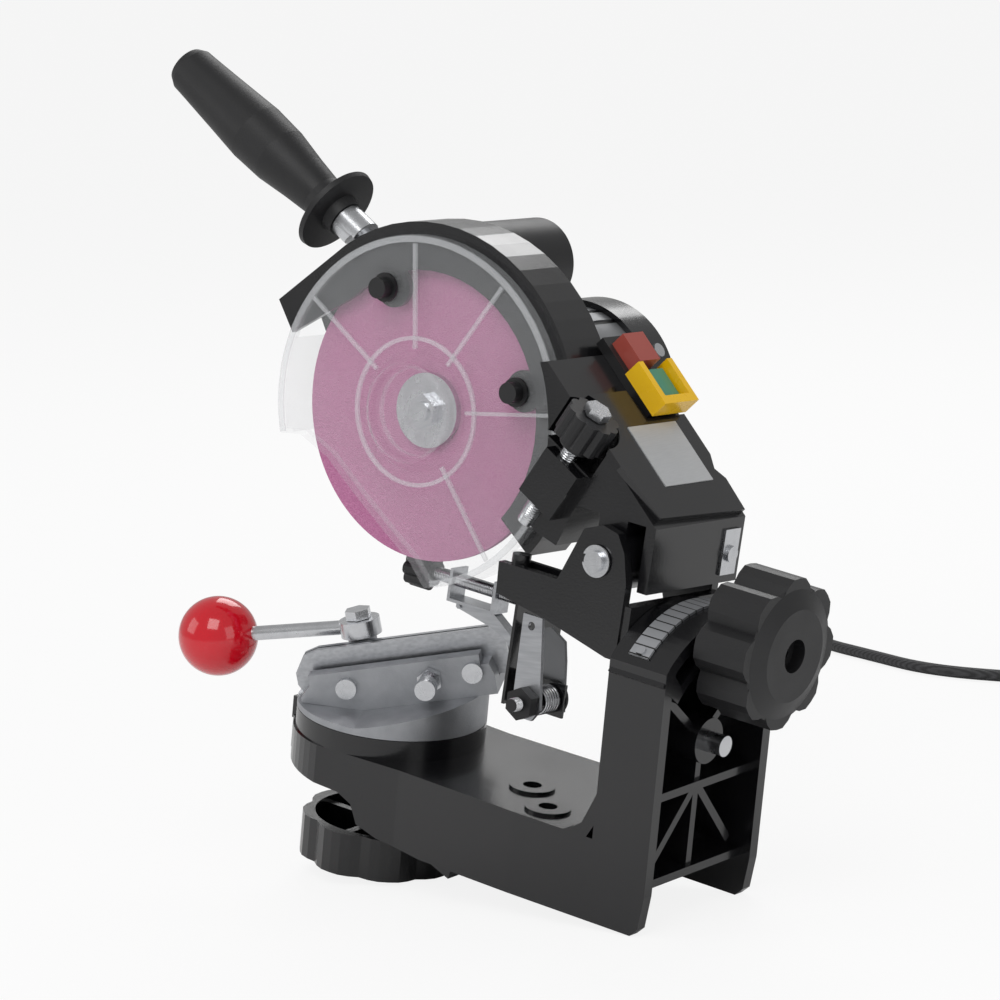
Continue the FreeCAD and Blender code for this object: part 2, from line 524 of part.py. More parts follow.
emit("motor_bearings", group(
    cut(cyl(13.0, 8.0, m0 - 9.0, sy, sz, ALONG_X), cyl(6.0, 12.0, m0 - 11, sy, sz, ALONG_X)),
    cut(cyl(13.0, 8.0, m1 - 3.0, sy, sz, ALONG_X), cyl(6.0, 12.0, m1 - 5.0, sy, sz, ALONG_X))), HEAD)
emit("motor_shaft", fuse(cyl(5.95, m_len + 14.0, m1 - 3.0, sy, sz, ALONG_X),
                         cyl(5.0, 32.0, m0 + 10.0, sy, sz, ALONG_X)), HEAD)
fan = [box(m1 + 6, m1 + 14, -1, 1, 8, 34, place(0, sy, sz, X_AXIS, a)) for a in range(0, 360, 45)]
emit("rotor", cut(fuse(cyl(22.0, 54.0, m0 - 83, sy, sz, ALONG_X), cyl(10.0, 18.0, m1 + 6.0, sy, sz, ALONG_X), *fan),
                  cyl(5.95, 120.0, m1, sy, sz, ALONG_X)), HEAD)
c_r = val["condenser_radius"]
emit("condenser_housing", cyl("@condenser_radius", 52.2, -74.5, -4, 181, ALONG_X), HEAD)

# Wheel with its flanges and nut
w_t = val["wheel_thick"]
wheel = cut(cyl("@wheel_radius", "@wheel_thick", -w_t / 2, sy, sz, ALONG_X), cyl(11.1, 9.0, -4, sy, sz, ALONG_X))
emit("grinding_wheel", wheel, HEAD)
emit("inner_flange", cut(fuse(cyl(18.0, 4.0, -w_t / 2 - 4.1, sy, sz, ALONG_X), cyl(9.0, 4.0, -9.0, sy, sz, ALONG_X),
                              cyl(11.0, w_t - 0.4, -w_t / 2 - 0.2, sy, sz, ALONG_X)),
                         cyl(5.0, 30.0, -15, sy, sz, ALONG_X)), HEAD)
emit("outer_flange", cut(cyl(18.0, 3.5, w_t / 2 + 0.1, sy, sz, ALONG_X), cyl(5.0, 30.0, -15, sy, sz, ALONG_X)), HEAD)
emit("spindle_nut", cut(prism(6, 8.5, 4.5, w_t / 2 + 3.7, sy, sz, ALONG_X),
                        cyl(5.0, 30.0, -5, sy, sz, ALONG_X)), HEAD)

# Handle
h_dir = math.degrees(math.atan2(47, -97))
GRIP = place(-6, -57, 184, X_AXIS, h_dir - 90)
r_g = val["grip_radius"]
grip = [(0, 16), (9.5, 16), (10.5, 21), (22, 21.5), (22.5, 24), (11.5, 25), (11, 34), (12.5, 48), (r_g - 0.5, 66),
        (r_g, 84), (r_g - 1.5, 104), (12.6, 124), (12.0, 134), (10, 138), (5, 139.5), (0, 139.5)]
emit("handle_grip", cut(turned(grip, GRIP), solid(Part.makeCylinder(5.0, 90.0, V(-6, -57, 184),
     GRIP.Rotation.multVec(Z_AXIS)))), HEAD)
stem = cyl(5.0, 90.0, 0, 0, 0)
stem.Placement = GRIP
shoulder_piece = cyl(8.5, 14.0, 0, 0, 0)
shoulder_piece.Placement = GRIP.multiply(place(0, 0, 1.5))
emit("handle_stem", cut(fuse(stem, shoulder_piece), cyl("@guard_radius + 0.3", 80.0, -40, sy, sz, ALONG_X),
                        box(-40, 40, -60, 0, -30, 0, place(0, -60, 186, X_AXIS, 41))), HEAD)

# Depth screw in the lug
emit("depth_screw", fuse(cyl(4.0, 58.0, 0, 0, -50), prism(6, 6.5, 4.0, 0, 0, 15.5), cyl(4.0, 10.0, 0, 0, 6)),
     HEAD.multiply(SCREW))
emit("depth_knob", cut(fuse(pad("XY_Plane", [lobed(10, 13.0, 1.6)], 15, 0.0), cyl(8.0, 4.0, 0, 0, -3.5)),
                       cyl(4.0, 40.0, 0, 0, -10)), HEAD.multiply(SCREW))

# Switch with two push buttons and a yellow guard, on the sloped face of the arm
SW = place(-26, 96.0, 149.0, X_AXIS, -40.0)
emit("switch_body", cut(box(-12, 12, -22, 22, -0.0, 5.0), box(-8.2, 8.2, -18.2, -1.8, 2.0, 9.0),
                        box(-8.2, 8.2, 1.8, 18.2, 2.0, 9.0)), HEAD.multiply(SW))
yellow = cut(box(-13.5, 13.5, -0.5, 24, 5.2, 15), box(-9.6, 9.6, -3, 19.5, 4, 20))
emit("switch_guard", yellow, HEAD.multiply(SW))
emit("red_button", box(-8, 8, -18, -2, 4.2, 13.0), HEAD.multiply(SW))
emit("green_button", box(-8, 8, 2, 18, 4.2, 11.0), HEAD.multiply(SW))

# Chain stop under the channel arm
stop_outline = [(-18, -8), (19.7, -8), (19.7, 56), (12, 56), (12, 44), (-18, 44)]
emit("stop_plate", cut(fuse(pad("XZ_Plane", [stop_outline], 1.6, 79), box(12, 13.6, 79, 110, -8, 8)),
                       cyl(3.05, 20.0, -12.6, 75, 34, ALONG_Y), cyl(3.05, 40.0, 0, 102, 0, ALONG_X)), HEAD)


def coil_y(radius, wire, pitch, turns, x, y, z):
    shape = coil(radius, wire, pitch, turns, 0, 0, 0)
    shape.Placement = FreeCAD.Placement(V(x, y, z), ALONG_Y)
    return shape


emit("stop_rod_spring", solid(coil_y(4.1, 0.7, 2.4, 6.0, -12.6, 63.7, 34)), HEAD)
carrier = fuse(box(-18.6, -6.6, 20, 21.6, 24, 40), box(-18.6, -6.6, 20, 48, 24, 25.6),
               box(-18.6, -6.6, 46.4, 48, 24, 40))
emit("stop_carrier", cut(carrier, cyl(3.05, 60.0, -12.6, 10, 34, ALONG_Y)), HEAD)
knob = pad("XZ_Plane", [lobed(8, 9.5, 1.4)], 11, 0)
emit("stop_knob", fuse(knob, cyl(6.0, 3.0, 0, 10.5, 0, ALONG_Y), cyl(3.0, 90.0, 0, 0, 0, ALONG_Y)),
     HEAD.multiply(place(-12.6, -6.0, 34)))
pawl = [(24, 23.2), (24, 21.5), (44, 17.5), (54, 14.5), (60, 9), (62, 11), (57, 17), (47, 23.5)]
emit("chain_pawl", fuse(pad("YZ_Plane", [pawl], 6, -15.6), cyl(1.1, 8.0, -16.6, 26, 22.3, ALONG_X)), HEAD)
emit("side_link", cut(pad("YZ_Plane", [[(93, 41), (104, 41), (110, -2), (106, -8), (98, -8), (94, -2)]], 2.0, 30.0),
                      cyl(2.0, 20.0, 25, 98.5, 36, ALONG_X), cyl(3.05, 20.0, 25, 102, 0, ALONG_X)), HEAD)
emit("link_bolt", fuse(cyl(3.0, 36.0, 8.0, 102, 0, ALONG_X), prism(6, 8.0, 6.0, 32.3, 102, 0, ALONG_X),
                       cyl(8.5, 1.5, 10.4, 102, 0, ALONG_X), cyl(5.0, 3.4, 26.2, 102, 0, ALONG_X)), HEAD)
emit("link_spring", solid(coil(6.2, 0.8, 1.9, 6.0, 14.6, 102, 0)), HEAD)
lever = [(84, 28), (94, 32), (103, 27), (105, 18), (108, -6), (98, -8), (88, 8)]
emit("grey_lever", cut(pad("YZ_Plane", [lever], 2.0, 8.0), cyl(3.05, 30.0, 0, 102, 0, ALONG_X)), HEAD)


# Mains lead: out of the far wall of the base, down to the table and away behind, then a tied-up coil
relief = turned([(0, 0), (4.4, 0), (6.4, 21), (9, 21), (9, 24), (0, 24)],
                FreeCAD.Placement(V(-half - 24.0, 110, 22), ALONG_X))
emit("strain_relief", relief, WORLD)
cord_r = val["cord_radius"]
lead_exit = WORLD.multVec(V(-half - 24.0, 110, 22))
LEAD_ROUTE = [(-46, 54.3, 31.5), (-76, 43, 15), (-106, 20, 3.25), (-142, -10, 3.25),
              (-186, -52, 3.25), (-236, -88, 3.25), (-288, -130, 3.25), (-342, -166, 3.25), (-394, -234, 3.25),
              (-433, -266, 3.25), (-477, -255, 3.25), (-494, -213, 3.25), (-455, -151, 3.25), (-441, -108, 3.25),
              (-425, -62, 3.25), (-428, -14, 3.25), (-440, 33.3, 3.25)]
COIL_RADIUS = 36.0
COIL_TURNS = 4
COIL_PITCH = 7.1


def rounded(points):
    """Straight runs joined by tangent arcs; the arc takes nine tenths of half the shorter run."""
    edges = []
    start = points[0]
    radii = []
    for before, corner, after in zip(points, points[1:], points[2:]):
        back = before - corner
        ahead = after - corner
        reach = 0.45 * min(back.Length, ahead.Length)
        half_turn = (math.pi - back.getAngle(ahead)) / 2
        radii.append(reach / math.tan(half_turn))
        first = corner + V(back).normalize() * reach
        last = corner + V(ahead).normalize() * reach
        toward = (V(back).normalize() + V(ahead).normalize()).normalize()
        depth = reach * (1 - math.sin(math.pi / 2 - half_turn)) / math.cos(math.pi / 2 - half_turn)
        edges.append(Part.LineSegment(start, first).toShape())
        edges.append(Part.Arc(first, corner + toward * depth, last).toShape())
        start = last
    edges.append(Part.LineSegment(start, points[-1]).toShape())
    return Part.Wire(edges), radii


route = [lead_exit] + [V(*point) for point in LEAD_ROUTE]
lead_line, radii = rounded(route)
print("lead length %.0f, least radius %.1f" % (lead_line.Length, min(radii)))
disc = Part.Wire([Part.makeCircle(cord_r, lead_exit, V(1, 0, 0))])
emit("mains_cord", solid(lead_line.makePipeShell([disc], True, False)), place())
heading = (route[-1] - route[-2]).normalize()
begin = math.degrees(math.atan2(-heading.x, heading.y))
middle = route[-1] - V(math.cos(math.radians(begin)), math.sin(math.radians(begin)), 0) * COIL_RADIUS
helix = Part.makeHelix(COIL_PITCH, COIL_PITCH * COIL_TURNS, COIL_RADIUS)
disc = Part.Wire([Part.makeCircle(cord_r, V(COIL_RADIUS, 0, 0), V(0, 1, 0))])
winding = Part.Wire(helix.Edges).makePipeShell([disc], True, True)
winding.Placement = place(middle.x, middle.y, cord_r + 0.02, Z_AXIS, begin)
print("coil length %.0f, least gap to itself %.2f" % (helix.Length, COIL_PITCH - 2 * cord_r))
emit("cord_coil", solid(winding), place())
PLUG = place(route[-1].x, route[-1].y, cord_r + COIL_PITCH * COIL_TURNS, Z_AXIS, begin)
plug = fuse(cone(3.3, 5.2, 30.0, 0, 0.3, 0, ALONG_Y), box(-11, 11, 30, 62, -8, 8),
            box(-7.2, -5.6, 62, 79, -3.2, 3.2), box(5.6, 7.2, 62, 79, -3.2, 3.2))
emit("mains_plug", plug, PLUG)

for node, obj in exports:
    shape = obj.Shape
    bad = shape.isNull() or not shape.isValid()
    print("%-22s solids %d vol %.0f valid %s state %s" % (node, len(shape.Solids), 0 if bad else shape.Volume,
                                                        not bad, obj.State))
os.makedirs("parts", exist_ok=True)
for node, obj in exports:
    obj.Shape.exportStep("parts/%s.step" % node)
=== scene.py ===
import json
import math

import bpy
import numpy as np
from mathutils import Matrix, Vector


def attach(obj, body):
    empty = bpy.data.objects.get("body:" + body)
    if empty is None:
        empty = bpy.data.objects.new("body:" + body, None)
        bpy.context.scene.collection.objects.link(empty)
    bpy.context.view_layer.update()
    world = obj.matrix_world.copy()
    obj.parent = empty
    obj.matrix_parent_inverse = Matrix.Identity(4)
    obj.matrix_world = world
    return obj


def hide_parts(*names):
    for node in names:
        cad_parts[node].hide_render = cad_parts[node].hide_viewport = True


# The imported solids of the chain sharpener, and their box as they came
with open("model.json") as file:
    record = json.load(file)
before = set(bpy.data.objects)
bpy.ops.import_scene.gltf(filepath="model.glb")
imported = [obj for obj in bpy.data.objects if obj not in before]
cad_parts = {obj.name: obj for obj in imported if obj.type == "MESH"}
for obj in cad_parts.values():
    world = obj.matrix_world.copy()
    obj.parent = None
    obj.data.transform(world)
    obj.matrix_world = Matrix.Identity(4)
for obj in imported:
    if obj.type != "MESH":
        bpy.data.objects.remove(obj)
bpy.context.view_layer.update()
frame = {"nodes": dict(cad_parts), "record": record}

bl_info = {
    "name": "Chain sharpener looks",
    "version": (1, 0, 0),
    "blender": (4, 5, 0),
    "location": "View3D > Sidebar > Sharpener",
    "description": "Finishes and fine pieces for a bench chain sharpener",
    "category": "Object",
}

MM = 0.001

# Node sockets that are picked by their number
OBJECT_COORDINATES = 3
WAVE_FACTOR = 1
MIX_FACTOR = 0
MIX_FIRST = 6
MIX_SECOND = 7
MIX_COLOUR = 2

# Division lines of the scale band, in degrees about the tilt axis
SCALE_STEP = 5.0
SCALE_LINE_HALF = 0.35

# Edges that are sharper than this stay sharp, in degrees
SOLID_EDGE = 32
PIECE_EDGE = 35

# Screw threads: points round a turn and rows along one pitch
THREAD_STEPS = 28
THREAD_ROWS = 8
# A ridge fades in and out over one part in this many of its length
THREAD_FADE = 8
# A ridge starts this far inside the plain cylinder of the solid
THREAD_SINK = 0.05
# The depth screw in the head's frame, its lean about X, and the foot of its thread along it
DEPTH_SCREW_PLACE = (30, 108, 127)
DEPTH_SCREW_LEAN = -27.6
DEPTH_SCREW_FOOT = (0, 0, -49.7)
# Feet of the other threads: two in the head's frame, and the clamp bolt's in the rails'
STOP_ROD_FOOT = (-12.6, 5.0, 34)
LINK_BOLT_FOOT = (38.4, 102, 0)
CLAMP_BOLT_FOOT = (21.4, 15, -18)

# Clear cover: its outer face along X, and what stands on it, by its distance from the spindle's axis
COVER_FACE = 13.1
RIB_ANGLES = (60.0, 12.0, 150.0, -48.0, 100.0)
RIB_REACH = (30.0, 80.0)
RIB_DEPTH = 1.6
RIB_HALF = 0.9
HUB_RING = ((34.0, 0.0), (34.0, 1.4), (36.0, 1.4), (36.0, 0.0))
HUB_STEPS = 96
RIM = ((80.5, 0.0), (80.5, 1.0), (83.6, 1.0), (83.6, 0.0))
RIM_SPAN = (-74, 200)
RIM_STEPS = 120

# Black strips of painted shade in the grooves of the motor's barrel: angles about its axis, and extents
# along X, Y and Z
STRIP_ANGLES = (-112, -96, -80, -22, -8, 6, 20, 34, 96, 112, 128, 144, 160, 176)
STRIP_BOX = (-134.0, -31.5, -1.4, 1.4, 40.6, 42.4)

# Mains lead: where it leaves the strain relief, in the base's frame, its route after that, in the frame
# of the solids, and its length in metres
LEAD_EXIT = (-69.0, 110.0, 22.0)
LEAD_ROUTE = (
    (-46, 54.3, 31.5), (-76, 43, 15), (-106, 20, 3.25), (-142, -10, 3.25), (-186, -52, 3.25),
    (-236, -88, 3.25), (-288, -130, 3.25), (-342, -166, 3.25), (-394, -234, 3.25), (-433, -266, 3.25),
    (-477, -255, 3.25), (-494, -213, 3.25), (-455, -151, 3.25), (-441, -108, 3.25), (-425, -62, 3.25),
    (-428, -14, 3.25), (-440, 33.3, 3.25),
)

# Camera film, and the frame that its focal length is given for
SENSOR_WIDTH = 36.0
FRAME_PIXELS = 1000.0

# How much of the floor's own white the camera sees, and the light of the surroundings
FLOOR_GLOW = 0.86
WORLD_LIGHT = 0.42

# Lamps: name, place and side in metres, and power in watts; all point at LAMP_TARGET
LAMP_TARGET = (0.0, 0.0, 0.17)
LAMPS = (
    ("key", (1.3, 0.4, 1.5), 1.0, 11.0),
    ("fill", (0.4, 1.8, 0.7), 1.2, 5.0),
    ("rim", (-1.2, -0.6, 1.3), 0.9, 8.0),
    ("front", (1.2, -1.5, 0.9), 1.0, 5.0),
)


class SharpenerSizes(bpy.types.PropertyGroup):
    """Sizes of the fine pieces, in millimetres, in the frame of the solids."""
    stand_x: bpy.props.FloatProperty(name="Turntable axis along X", default=54.74)
    stand_y: bpy.props.FloatProperty(name="Turntable axis along Y", default=-57.8)
    stand_z: bpy.props.FloatProperty(name="Turntable axis foot", default=30.05)
    stand_deg: bpy.props.FloatProperty(name="Pitch of the base", default=9.4)
    tilt_height: bpy.props.FloatProperty(name="Height of the tilt axis", default=86.0)
    tilt_deg: bpy.props.FloatProperty(name="Tilt of the head", default=5.0)
    turn_deg: bpy.props.FloatProperty(name="Turn of the vise", default=30.0)
    slope_deg: bpy.props.FloatProperty(name="Slope of the rails", default=15.0)
    rail_height: bpy.props.FloatProperty(name="Height of the rails", default=87.0)
    spindle_y: bpy.props.FloatProperty(name="Spindle along Y", default=1.0)
    spindle_z: bpy.props.FloatProperty(name="Spindle above the tilt axis", default=114.0)
    cord_radius: bpy.props.FloatProperty(name="Radius of the mains lead", default=3.25)
    thread_depth: bpy.props.FloatProperty(name="Depth of a screw thread", default=0.45)


class SharpenerStage(bpy.types.PropertyGroup):
    """Camera, lamps and floor."""
    camera_x: bpy.props.FloatProperty(name="Camera X, mm", default=2073.4)
    camera_y: bpy.props.FloatProperty(name="Camera Y, mm", default=1604.6)
    camera_z: bpy.props.FloatProperty(name="Camera Z, mm", default=669.0)
    azimuth: bpy.props.FloatProperty(name="Camera azimuth", default=128.1)
    elevation: bpy.props.FloatProperty(name="Camera elevation", default=10.61)
    roll: bpy.props.FloatProperty(name="Camera roll", default=-2.4)
    focal_px: bpy.props.FloatProperty(name="Focal length in pixels of a 1000 pixel frame", default=5544.0)
    floor_half: bpy.props.FloatProperty(name="Half side of the floor, m", default=6.0)


def sizes():
    return bpy.context.scene.sharpener_sizes


def turn(axis, degrees):
    return Matrix.Rotation(math.radians(degrees), 4, axis)


def shift(x, y, z):
    return Matrix.Translation((x, y, z))


def base_frame():
    """The base's own frame, in millimetres: bench plane at zero height, pitched as it stands."""
    s = sizes()
    return shift(s.stand_x, s.stand_y, s.stand_z) @ turn("X", -s.stand_deg)


def head_frame():
    """The head's frame: the tilt axis at zero height, the spindle along X."""
    s = sizes()
    return base_frame() @ shift(0, 0, s.tilt_height) @ turn("Y", -s.tilt_deg)


def slope_frame():
    """The rails' frame: turned with the vise and sloped."""
    s = sizes()
    turned = base_frame() @ turn("Z", s.turn_deg)
    return turned @ shift(0, 0, s.rail_height) @ turn("X", s.slope_deg)


def spindle_frame(along=0.0):
    """The head's frame moved onto the spindle's axis, and this far along it."""
    s = sizes()
    return head_frame() @ shift(along, s.spindle_y, s.spindle_z)


# Shader arithmetic: a socket that adds, multiplies and compares


class Field:
    """A value that varies over a surface; operators add the math node that they stand for."""

    def __init__(self, tree, socket):
        self.tree = tree
        self.socket = socket

    def math(self, kind, *others):
        node = self.tree.nodes.new("ShaderNodeMath")
        node.operation = kind
        for place, item in enumerate((self,) + others):
            if isinstance(item, Field):
                self.tree.links.new(item.socket, node.inputs[place])
            else:
                node.inputs[place].default_value = item
        return Field(self.tree, node.outputs[0])

    def __add__(self, other):
        return self.math("ADD", other)

    def __sub__(self, other):
        return self.math("SUBTRACT", other)

    def __mul__(self, other):
        return self.math("MULTIPLY", other)

    def __lt__(self, other):
        return self.math("LESS_THAN", other)

    def clamp(self):
        return self.math("MAXIMUM", 0.0).math("MINIMUM", 1.0)


class Surface:
    """A material and its shader, with the nodes of one finish."""

    def __init__(self, name):
        self.material = bpy.data.materials.new(name)
        self.material.use_nodes = True
        self.tree = self.material.node_tree
        self.shader = self.tree.nodes["Principled BSDF"]

    def node(self, kind, inputs=None, output=0):
        """Makes one node, links or sets its inputs and gives back one output as a field."""
        made = self.tree.nodes.new("ShaderNode" + kind)
        for key, value in (inputs or {}).items():
            self.put(made.inputs[key], value)
        return Field(self.tree, made.outputs[output])

    def put(self, socket, value):
        if isinstance(value, Field):
            self.tree.links.new(value.socket, socket)
        else:
            socket.default_value = value

    def set(self, **values):
        for key, value in values.items():
            self.put(self.shader.inputs[key.replace("_", " ")], value)
        return self

    def coordinates(self):
        return self.node("TexCoord", output=OBJECT_COORDINATES)

    def noise(self, scale, detail=3.0, rough=0.5, where=None):
        inputs = {"Vector": where or self.coordinates(), "Scale": scale}
        return self.node("TexNoise", {**inputs, "Detail": detail, "Roughness": rough})

    def mix(self, amount, first, second):
        """A colour between two, each a triple or a field, by a field from 0 to 1."""
        made = self.tree.nodes.new("ShaderNodeMix")
        made.data_type = "RGBA"
        self.put(made.inputs[MIX_FACTOR], amount)
        for place, colour in ((MIX_FIRST, first), (MIX_SECOND, second)):
            self.put(made.inputs[place], colour if isinstance(colour, Field) else (*colour, 1.0))
        return Field(self.tree, made.outputs[MIX_COLOUR])

    def bump(self, height, distance, strength=1.0):
        return self.node("Bump", {"Height": height, "Distance": distance, "Strength": strength})


FINISHES = {}


def finish_named(name):
    """The finish is made when it is first asked for."""
    if name not in FINISHES:
        FINISHES[name] = MAKERS[name]().material
    return FINISHES[name]


def worn(surface, low, high, scale):
    """Roughness that drifts between two values."""
    return surface.noise(scale, 4.0) * (high - low) + low


def black_enamel():
    """Glossy black enamel over a cast surface."""
    s = Surface("Black enamel")
    s.set(Base_Color=s.mix(s.noise(30.0), (0.004, 0.004, 0.005), (0.008, 0.008, 0.009)),
          Roughness=worn(s, 0.16, 0.30, 45.0), Coat_Weight=0.35, Coat_Roughness=0.12,
          Normal=s.bump(s.noise(900.0, 2.0), 0.00012, 0.35))
    return s


def black_plastic():
    """Moulded black plastic with a fine spark grain."""
    s = Surface("Black moulded plastic")
    s.set(Base_Color=s.mix(s.noise(60.0), (0.006, 0.006, 0.007), (0.012, 0.012, 0.013)),
          Roughness=worn(s, 0.36, 0.50, 70.0), Normal=s.bump(s.noise(2600.0, 2.0), 0.0001, 0.5))
    return s


def grip_rubber():
    s = Surface("Black grip")
    s.set(Base_Color=s.mix(s.noise(40.0), (0.007, 0.007, 0.008), (0.013, 0.013, 0.014)),
          Roughness=worn(s, 0.42, 0.58, 50.0), Normal=s.bump(s.noise(1800.0, 3.0), 0.00015, 0.6))
    return s


def cast_metal():
    """Grey cast aluminium, blasted, with paler rubbed places."""
    s = Surface("Grey cast metal")
    s.set(Base_Color=s.mix(s.noise(120.0, 5.0), (0.30, 0.31, 0.33), (0.47, 0.48, 0.50)), Metallic=0.85,
          Roughness=worn(s, 0.32, 0.52, 60.0), Normal=s.bump(s.noise(1300.0, 4.0), 0.0002, 0.6))
    return s


def bright_steel():
    """Plated steel with fine drawn lines."""
    s = Surface("Bright plated steel")
    s.set(Base_Color=s.mix(s.noise(200.0), (0.55, 0.56, 0.58), (0.72, 0.73, 0.75)), Metallic=1.0,
          Roughness=worn(s, 0.18, 0.34, 150.0), Normal=s.bump(s.noise(1500.0), 0.00008, 0.4))
    return s


def rail_steel():
    s = Surface("Ground steel")
    stretched = s.node("Mapping", {"Vector": s.coordinates(), "Scale": (1.0, 0.08, 1.0)})
    s.set(Base_Color=s.mix(s.noise(700.0, 2.0, where=stretched), (0.34, 0.35, 0.37), (0.60, 0.61, 0.63)),
          Metallic=1.0, Roughness=worn(s, 0.24, 0.42, 90.0))
    return s


def grey_enamel():
    """Satin grey enamel of the motor's barrel."""
    s = Surface("Grey motor enamel")
    s.set(Base_Color=s.mix(s.noise(50.0), (0.20, 0.205, 0.215), (0.26, 0.265, 0.275)), Metallic=0.35,
          Roughness=worn(s, 0.30, 0.44, 60.0), Normal=s.bump(s.noise(1500.0), 0.0001, 0.4))
    return s


def red_gloss():
    s = Surface("Red gloss plastic")
    s.set(Base_Color=s.mix(s.noise(25.0), (0.62, 0.004, 0.014), (0.70, 0.006, 0.020)),
          Roughness=worn(s, 0.10, 0.18, 40.0), Coat_Weight=0.5, Coat_Roughness=0.05)
    return s


def abrasive():
    """Bonded pink grit: small grains of three tones over a rough face."""
    s = Surface("Pink abrasive")
    grains = s.node("TexVoronoi", {"Vector": s.coordinates(), "Scale": 1400.0})
    tone = s.mix(s.noise(1100.0, 4.0, 0.7), (0.36, 0.07, 0.21), (0.56, 0.17, 0.38))
    s.set(Base_Color=s.mix((grains * 1.6).clamp() * 0.25, tone, (0.86, 0.52, 0.68)),
          Roughness=worn(s, 0.82, 0.95, 300.0), Normal=s.bump(grains, 0.0004, 0.8))
    return s


def clear_plastic():
    """Clear moulded sheet, seen through, a little milky with fine haze."""
    s = Surface("Clear sheet")
    s.set(Base_Color=(0.88, 0.90, 0.92, 1.0), Roughness=worn(s, 0.05, 0.12, 40.0),
          Alpha=(s.noise(30.0) * 0.04 + 0.07), Coat_Weight=0.4)
    s.material.surface_render_method = "BLENDED"
    return s


def clear_edge():
    """The same plastic where it is seen edge on: ribs, rim and hub."""
    s = Surface("Clear rim")
    s.set(Base_Color=(0.86, 0.88, 0.90, 1.0), Roughness=worn(s, 0.05, 0.14, 60.0),
          Alpha=(s.noise(60.0) * 0.08 + 0.20), Coat_Weight=0.6)
    s.material.surface_render_method = "BLENDED"
    return s


def yellow_plastic():
    s = Surface("Yellow plastic")
    s.set(Base_Color=s.mix(s.noise(60.0), (0.88, 0.50, 0.003), (0.93, 0.56, 0.006)),
          Roughness=worn(s, 0.20, 0.34, 60.0), Normal=s.bump(s.noise(1700.0), 0.00006, 0.3))
    return s


def red_button():
    s = Surface("Red button plastic")
    s.set(Base_Color=s.mix(s.noise(50.0), (0.34, 0.055, 0.040), (0.40, 0.075, 0.055)),
          Roughness=worn(s, 0.25, 0.38, 60.0), Coat_Weight=0.2)
    return s


def green_button():
    s = Surface("Green button plastic")
    s.set(Base_Color=s.mix(s.noise(50.0), (0.05, 0.25, 0.16), (0.07, 0.31, 0.20)),
          Roughness=worn(s, 0.25, 0.38, 60.0), Coat_Weight=0.2)
    return s


def silver_label():
    """Blank brushed foil."""
    s = Surface("Blank silver label")
    stretched = s.node("Mapping", {"Vector": s.coordinates(), "Scale": (0.05, 1.0, 1.0)})
    s.set(Base_Color=s.mix(s.noise(1500.0, 2.0, where=stretched), (0.50, 0.51, 0.52), (0.60, 0.61, 0.62)),
          Metallic=0.4, Roughness=worn(s, 0.34, 0.46, 80.0))
    return s


def scale_foil():
    """Foil band with plain division lines: dark in the middle of each step about the tilt axis."""
    s = Surface("Scale band foil")
    to_base = base_frame().inverted()
    split = s.tree.nodes.new("ShaderNodeSeparateXYZ")
    placed = s.node("Mapping", {"Vector": s.coordinates(), "Scale": (1 / MM,) * 3})
    turned = s.node("Mapping", {"Vector": placed, "Location": tuple(to_base.to_translation()),
                                "Rotation": tuple(to_base.to_euler())})
    s.tree.links.new(turned.socket, split.inputs[0])
    across = Field(s.tree, split.outputs[0])
    up = Field(s.tree, split.outputs[2]) - sizes().tilt_height
    angle = across.math("ARCTAN2", up) * (180.0 / math.pi)
    step = (angle + 90.0).math("MODULO", SCALE_STEP)
    line = (step - SCALE_STEP / 2).math("ABSOLUTE") < SCALE_LINE_HALF
    s.set(Base_Color=s.mix(line, (0.42, 0.43, 0.45), (0.03, 0.03, 0.03)), Metallic=0.5,
          Roughness=worn(s, 0.28, 0.42, 80.0))
    return s


def motor_core():
    """Stacked laminations: thin lines across the axis."""
    s = Surface("Motor core")
    wave = s.node("TexWave", {"Vector": s.coordinates(), "Scale": 300.0, "Distortion": 0.2}, WAVE_FACTOR)
    s.set(Base_Color=s.mix(wave, (0.18, 0.16, 0.14), (0.36, 0.33, 0.30)), Metallic=0.8,
          Roughness=worn(s, 0.40, 0.55, 60.0))
    return s


def cord_rubber():
    """Dark sheath with a fine crosswise weave."""
    s = Surface("Lead sheath")
    weave = s.node("TexWave", {"Vector": s.coordinates(), "Scale": 260.0, "Distortion": 1.5}, WAVE_FACTOR)
    s.set(Base_Color=s.mix(weave, (0.012, 0.012, 0.013), (0.045, 0.045, 0.048)),
          Roughness=worn(s, 0.50, 0.66, 60.0), Normal=s.bump(weave, 0.0003, 0.6))
    return s


def painted_groove_shade():
    """Painted shade: a dull black that stands in for the shade in the motor's grooves."""
    s = Surface("Painted groove shade")
    s.set(Base_Color=s.mix(s.noise(60.0), (0.006, 0.006, 0.006), (0.010, 0.010, 0.011)),
          Roughness=worn(s, 0.5, 0.7, 60.0))
    return s


MAKERS = {maker.__name__: maker for maker in (
    black_enamel, black_plastic, grip_rubber, cast_metal, bright_steel, rail_steel, grey_enamel, red_gloss,
    abrasive, clear_plastic, clear_edge, yellow_plastic, red_button, green_button, silver_label, scale_foil,
    motor_core, cord_rubber, painted_groove_shade)}

